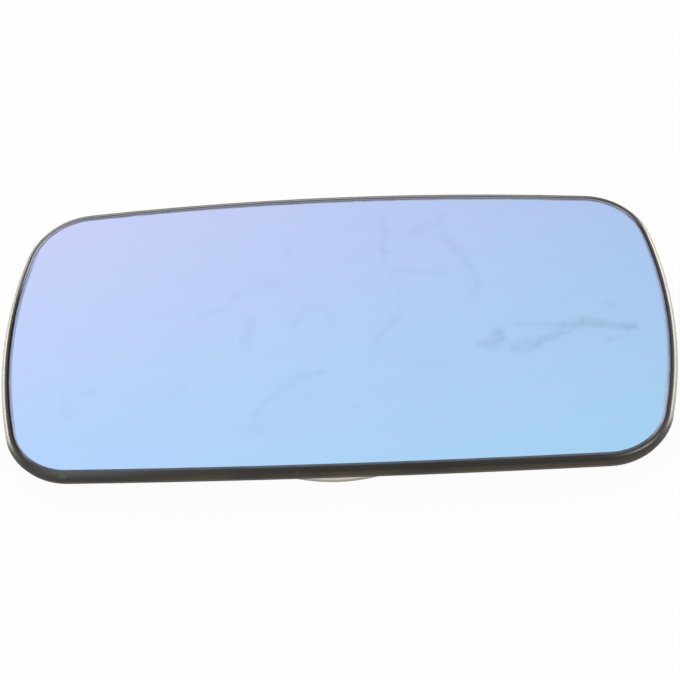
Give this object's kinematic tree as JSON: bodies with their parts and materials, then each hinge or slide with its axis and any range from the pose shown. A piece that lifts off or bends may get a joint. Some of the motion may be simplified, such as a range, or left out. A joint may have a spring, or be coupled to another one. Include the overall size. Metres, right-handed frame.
{
  "type": "car door mirror glass",
  "caption": "Convex blue-tinted mirror glass in a thin black holder, with a heating film behind it and a turning bayonet ring that locks onto the drive of a door mirror.",
  "frame": {"origin": "on the axis of the lock ring, at its rear face, which is the surface that the part lies on", "axes": "X along the glass, Y up its height as fitted to a door, Z out of its reflecting face"},
  "size_m": [0.1748, 0.0872, 0.0127],
  "materials": {
    "blue_mirror": "smooth blue-tinted mirror, with a few faint smears",
    "heater_film": "dark printed heating sheet",
    "black_plastic": "satin black moulded plastic with a fine grain",
    "natural_plastic": "uncoloured ivory moulded plastic",
    "tinned_brass": "dull tin plating on brass sheet"
  },
  "bodies": {
    "holder": {"mirror_glass": "blue_mirror", "heater_film": "heater_film", "glass_holder": "black_plastic", "heater_terminal_upper": "tinned_brass", "heater_terminal_lower": "tinned_brass"},
    "lock_ring": {"lock_ring": "natural_plastic"}
  },
  "joints": [
    {"name": "ring_turn", "type": "hinge", "parent": "holder", "child": "lock_ring", "pos_m": [0, 0, 0], "axis": [0, 0, 1], "range_deg": [0, 30]}
  ]
}
